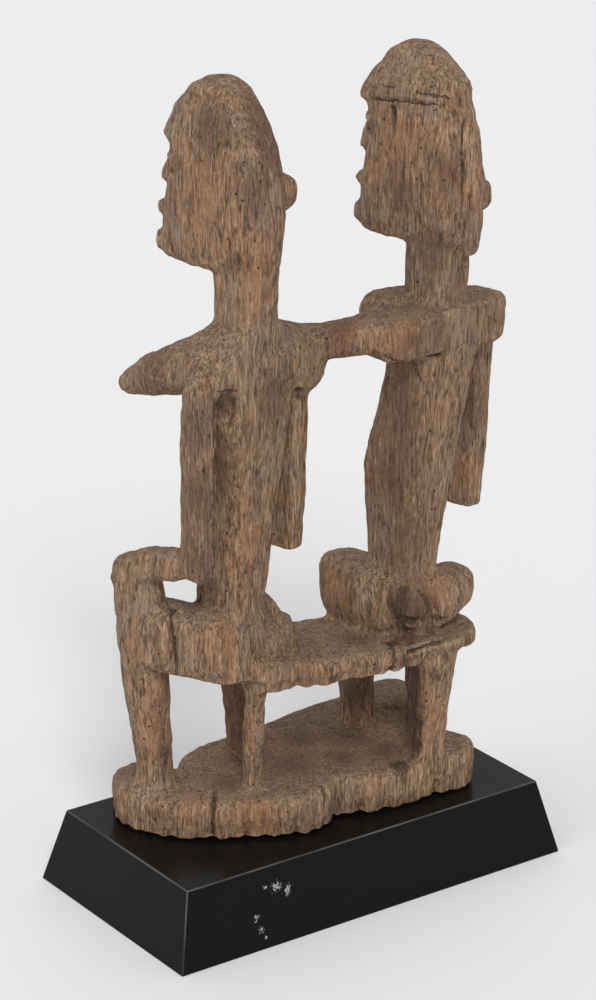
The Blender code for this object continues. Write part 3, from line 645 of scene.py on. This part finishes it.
def weatheredWood(look):
    wood = Recipe("weatheredWood")
    windows = look["windows"]
    parts = {name: wood.cloud(*layer) for name, layer in look["layers"].items()}
    for name, layer in (("loose", "mottle"), ("stringy", "streak"), ("patchy", "patch")):
        parts[name] = wood.math("SUBTRACT", parts[layer], 0.5)
    for name in ("dusty", "warm", "dark", "resinAndShade", "hollow"):
        parts[name] = wood.attribute(name)
    parts["shade"] = wood.window(parts["broad"], *windows["shade"])
    mixed = {name: wood.weighted(parts, shares) for name, shares in look["mixes"].items()}

    colour = wood.ramp(mixed["tone"], [(place, look[name]) for place, name in look["browns"]])
    colour = wood.blend(wood.window(mixed["grey"], *windows["grey"]), colour, look["grey"])
    upward = wood.window(wood.facing(), *windows["upward"])
    lying = wood.math("MULTIPLY", upward, wood.window(parts["mottle"], *windows["lying"]))
    dusty = wood.math("MAXIMUM", lying, wood.window(mixed["settled"], *windows["settled"]))
    powder = wood.ramp(mixed["tone"], [(place, look[name]) for place, name in look["dusts"]])
    colour = wood.blend(dusty, colour, powder)
    colour = wood.blend(wood.window(mixed["warmth"], *windows["warmth"]), colour, look["orange"])
    # purple-brown in random patches and at the listed dark spots, some of which are painted shade
    colour = wood.blend(wood.window(mixed["darkness"], *windows["darkness"]), colour, look["purple"])
    # nearly black resin in random patches, and painted shade at the listed spots
    resinAndShade = wood.window(mixed["resinAndShade"], *windows["resinAndShade"])
    colour = wood.blend(wood.math("MULTIPLY", resinAndShade, look["resinAndShadeCover"]), colour, look["resinAndShade"])
    # painted shade: darker where the skin lies below its neighbours, in creases and grooves; paler ridges
    # are wear along the edges
    colour = wood.blend(wood.window(parts["hollow"], *windows["hollow"]), colour, look["dark"])
    colour = wood.blend(wood.window(parts["hollow"], *windows["ridge"]), colour, look["pale"])

    # dark slits in the grain and the listed lines, some of them painted shadow lines
    middle = wood.math("ABSOLUTE", wood.math("SUBTRACT", parts["split"], 0.5))
    slitsAndShadowLines = wood.window(middle, *windows["slitsAndShadowLines"])
    slitsAndShadowLines = wood.math("MULTIPLY", slitsAndShadowLines, wood.window(parts["patch"], *windows["slitPatches"]))
    slitsAndShadowLines = wood.math("MAXIMUM", slitsAndShadowLines, wood.drawnLines(look["lines"], look["lineStyle"]))
    colour = wood.blend(wood.math("MULTIPLY", slitsAndShadowLines, look["slitAndShadowLineCover"]), colour, look["dark"])
    hole = wood.window(wood.cells(*look["holes"]), *windows["hole"])
    colour = wood.blend(wood.math("MULTIPLY", hole, look["holeCover"]), colour, look["hole"])
    glint = wood.window(wood.cells(*look["glints"]), *windows["glint"])
    glint = wood.math("MULTIPLY", glint, wood.window(parts["patch"], *windows["glintPatches"]))
    colour = wood.blend(glint, colour, look["glint"])
    wood.wire(colour, wood.shader.inputs["Base Color"])

    shine = wood.math("MULTIPLY", resinAndShade, look["resinShine"])
    rough = wood.math("SUBTRACT", wood.window(parts["mottle"], *windows["rough"]), shine)
    wood.wire(rough, wood.shader.inputs["Roughness"])
    normal = None
    for name, distance, strength in look["relief"]:
        normal = wood.relief(parts[name], distance, strength, normal)
    dips = wood.math("MAXIMUM", slitsAndShadowLines, hole)
    normal = wood.relief(wood.math("SUBTRACT", 1.0, dips), look["dipDepth"], 1.0, normal)
    wood.wire(normal, wood.shader.inputs["Normal"])
    wood.shader.inputs["Specular IOR Level"].default_value = look["specular"]
    return wood.material


lacquerLook = {
    "black": (0.0050, 0.0050, 0.0052),
    "wornAndHighlit": (0.115, 0.11, 0.105),
    "scuff": (0.42, 0.41, 0.43),
    # clouds of noise: how fine along x, y and z, per metre, then detail, roughness and warp
    "layers": {
        "grainy": ((900, 900, 900), 4.0, 0.6),
        "broad": ((60, 60, 60), 3.0),
        "speck": ((1300, 1300, 1300), 4.0, 0.7, 0.6),
    },
    # windows on a value: from, to, and what comes out at either end when that isn't 0 and 1
    "windows": {
        "rubbedAndHighlit": (0.30, 0.66, 0.45, 1.0),
        "speck": (0.70, 0.76),
        "speckPatches": (0.56, 0.70, 0.0, 0.6),
        "mark": (0.64, 0.74),
        "markRim": (0.0, 0.3),
        "rough": (0.3, 0.7, 0.24, 0.34),
    },
    "wornAndHighlitCover": 0.8,
    "scuffCover": 0.85,
    "markPull": 0.22,         # how much more often specks show within a mark
    "grainHeight": 0.00004,   # metres
    "grainStrength": 0.5,
    "specular": 0.10,
    # rubbed marks on the long face: place and reach in millimetres
    "marks": (
        ((30.8, 30.6, 15.2), 3.2), ((27.6, 30.8, 13.4), 2.6), ((38.4, 32.2, 8.6), 1.8),
        ((37.4, 32.8, 5.2), 1.8), ((34.6, 30.2, 16.0), 1.4), ((36.2, 33.2, 3.0), 1.0),
    ),
}


def blackLacquer(look):
    lacquer = Recipe("blackLacquer")
    windows = look["windows"]
    parts = {name: lacquer.cloud(*layer) for name, layer in look["layers"].items()}
    # painted highlight and wear: grey lacquer along the edges, strongest on the top edges
    uneven = lacquer.window(parts["broad"], *windows["rubbedAndHighlit"])
    rubbedAndHighlit = lacquer.math("MULTIPLY", lacquer.attribute("rubbedAndHighlit"), uneven)
    colour = lacquer.blend(lacquer.math("MULTIPLY", rubbedAndHighlit, look["wornAndHighlitCover"]), look["black"], look["wornAndHighlit"])
    patches = lacquer.window(parts["broad"], *windows["speckPatches"])
    scuffs = lacquer.math("MULTIPLY", lacquer.window(parts["speck"], *windows["speck"]), patches)
    for place, reach in look["marks"]:
        gap = lacquer.vector("DISTANCE", lacquer.coords, tuple(Vector(place) * mm))
        near = lacquer.window(gap, reach * mm, 0.0)
        thick = lacquer.math("ADD", parts["speck"], lacquer.math("MULTIPLY", near, look["markPull"]))
        mark = lacquer.window(thick, *windows["mark"])
        mark = lacquer.math("MULTIPLY", mark, lacquer.window(near, *windows["markRim"]))
        scuffs = lacquer.math("MAXIMUM", scuffs, mark)
    colour = lacquer.blend(lacquer.math("MULTIPLY", scuffs, look["scuffCover"]), colour, look["scuff"])
    lacquer.wire(colour, lacquer.shader.inputs["Base Color"])
    lacquer.wire(lacquer.window(parts["broad"], *windows["rough"]), lacquer.shader.inputs["Roughness"])
    normal = lacquer.relief(parts["grainy"], look["grainHeight"], look["grainStrength"])
    lacquer.wire(normal, lacquer.shader.inputs["Normal"])
    lacquer.shader.inputs["Specular IOR Level"].default_value = look["specular"]
    return lacquer.material


floorLook = {
    "size": 6.0,
    "shade": (0.80, 0.808, 0.822),
    "light": (0.812, 0.818, 0.832),
    "cloud": ((3, 3, 3), 2.0),
    "roughness": 0.9,
}


def paleFloor(look):
    floorPaint = Recipe("palePaper")
    colour = floorPaint.blend(floorPaint.cloud(*look["cloud"]), look["shade"], look["light"])
    floorPaint.wire(colour, floorPaint.shader.inputs["Base Color"])
    floorPaint.shader.inputs["Roughness"].default_value = look["roughness"]
    mesh = bmesh.new()
    bmesh.ops.create_grid(mesh, x_segments=1, y_segments=1, size=look["size"])
    data = bpy.data.meshes.new("floor")
    mesh.to_mesh(data)
    mesh.free()
    floor = bpy.data.objects.new("floor", data)
    bpy.context.scene.collection.objects.link(floor)
    data.materials.append(floorPaint.material)


# broad even light, as from large soft boxes, so that the floor stays the same pale tone
# each lamp: the way round and the height it shines from, its spread in degrees, power and tint
lightLook = {
    "room": 0.55,
    "lamps": {
        "keyBox": (62.0, 42.0, 16.0, 1.65, (1.0, 0.985, 0.96)),
        "fillBox": (0.0, 36.0, 40.0, 0.55, (1.0, 1.0, 1.0)),
        "backBox": (230.0, 50.0, 50.0, 0.20, (1.0, 1.0, 1.0)),
    },
}


def addSun(name, around, height, spread, power, tint):
    lamp = bpy.data.lights.new(name, "SUN")
    lamp.angle = radians(spread)
    lamp.energy = power
    lamp.color = tint
    made = bpy.data.objects.new(name, lamp)
    level = cos(radians(height))
    towards = Vector((cos(radians(around)) * level, sin(radians(around)) * level, sin(radians(height))))
    made.location = towards
    made.rotation_euler = (-towards).to_track_quat("-Z", "Y").to_euler()
    bpy.context.scene.collection.objects.link(made)


def studio(look):
    bpy.context.scene.view_settings.view_transform = "Standard"
    world = bpy.data.worlds.new("paleRoom")
    world.use_nodes = True
    sky = world.node_tree.nodes["Background"]
    sky.inputs["Color"].default_value = (1.0, 1.0, 1.0, 1.0)
    sky.inputs["Strength"].default_value = look["room"]
    bpy.context.scene.world = world
    for name, lamp in look["lamps"].items():
        addSun(name, *lamp)


# place and clipping in metres, angles in degrees, lens in millimetres
cameraLook = {
    "place": (0.4752, 0.64525, 0.4033),
    "heading": 36.19,
    "down": 20.32,
    "roll": 0.63,
    "lens": 117.04,
    "nearest": 0.01,
}


def addCamera(settings):
    heading = radians(settings["heading"])
    down = radians(settings["down"])
    roll = radians(settings["roll"])
    ahead = Vector((-sin(heading) * cos(down), -cos(heading) * cos(down), -sin(down)))
    level = Vector((-cos(heading), sin(heading), 0.0))
    above = level.cross(ahead)
    right = level * cos(roll) + above * sin(roll)
    top = above * cos(roll) - level * sin(roll)
    lensData = bpy.data.cameras.new("camera")
    lensData.lens = settings["lens"]
    lensData.clip_start = settings["nearest"]
    camera = bpy.data.objects.new("camera", lensData)
    turned = Matrix((right, top, -ahead)).transposed().to_4x4()
    camera.matrix_world = Matrix.Translation(settings["place"]) @ turned
    bpy.context.scene.collection.objects.link(camera)
    bpy.context.scene.camera = camera


couple = mergedCopy(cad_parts["carved_couple"], "coupleCarving")
corners = [vert.co.copy() for vert in couple.data.vertices]
coupleBox = tuple(tuple(pick(spot[axis] for spot in corners) for axis in range(3)) for pick in (min, max))
evenSkin(couple, carving["voxel"] * mm)
print("carving: even skin of", len(couple.data.polygons), "faces")
weather(couple, carving, coupleBox)
couple.data.materials.clear()
couple.data.materials.append(weatheredWood(woodLook))
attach(couple, "root")
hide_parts("carved_couple")
print("carving: weathered")

plinth = makePlinth(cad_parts["plinth"], plinthLook)
plinth.data.materials.append(blackLacquer(lacquerLook))
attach(plinth, "root")
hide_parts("plinth")
print("plinth: made")

paleFloor(floorLook)
studio(lightLook)
addCamera(cameraLook)
print("stage: floor, lights and camera set")
